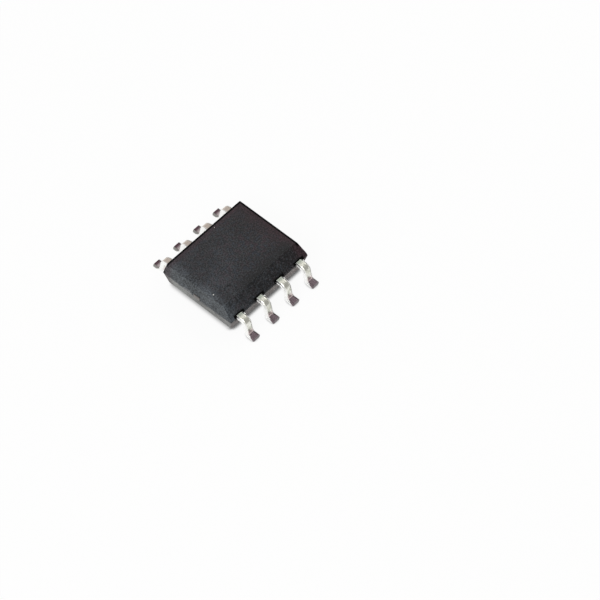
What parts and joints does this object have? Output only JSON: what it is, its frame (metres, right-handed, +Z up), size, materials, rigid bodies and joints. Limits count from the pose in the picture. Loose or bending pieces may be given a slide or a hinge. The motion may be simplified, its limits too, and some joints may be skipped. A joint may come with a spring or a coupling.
{
  "type": "8-lead small-outline chip",
  "caption": "Small surface-mount chip: a dark moulded body, bevelled along one side, with two rows of bent leads.",
  "frame": {"origin": "centre of the seating plane, which the undersides of the eight feet lie on", "axes": "+X along the body from its lead 1 end, +Y across the rows from the bevelled side (leads 1 to 4) to leads 5 to 8, +Z up. A footprint drawn with lead 1 at its upper left takes the part turned by -90 degrees about Z."},
  "size_m": [0.005, 0.006, 0.0015],
  "materials": {
    "mould_compound": "moulded epoxy, fine spark-eroded grain",
    "tin_plate": "matte tin over copper alloy, formed",
    "copper_alloy": "stamped copper alloy sheet",
    "silver_epoxy": "cured silver-filled adhesive",
    "silicon": "polished, sawn edges",
    "gold_wire": "drawn wire"
  },
  "bodies": {
    "root": {"moulded_body": "mould_compound", "lead_1": "tin_plate", "lead_2": "tin_plate", "lead_3": "tin_plate", "lead_4": "tin_plate", "lead_5": "tin_plate", "lead_6": "tin_plate", "lead_7": "tin_plate", "lead_8": "tin_plate", "die_paddle": "copper_alloy", "die_attach": "silver_epoxy", "silicon_die": "silicon", "bond_wire_1": "gold_wire", "bond_wire_2": "gold_wire", "bond_wire_3": "gold_wire", "bond_wire_4": "gold_wire", "bond_wire_5": "gold_wire", "bond_wire_6": "gold_wire", "bond_wire_7": "gold_wire", "bond_wire_8": "gold_wire"}
  },
  "joints": []
}
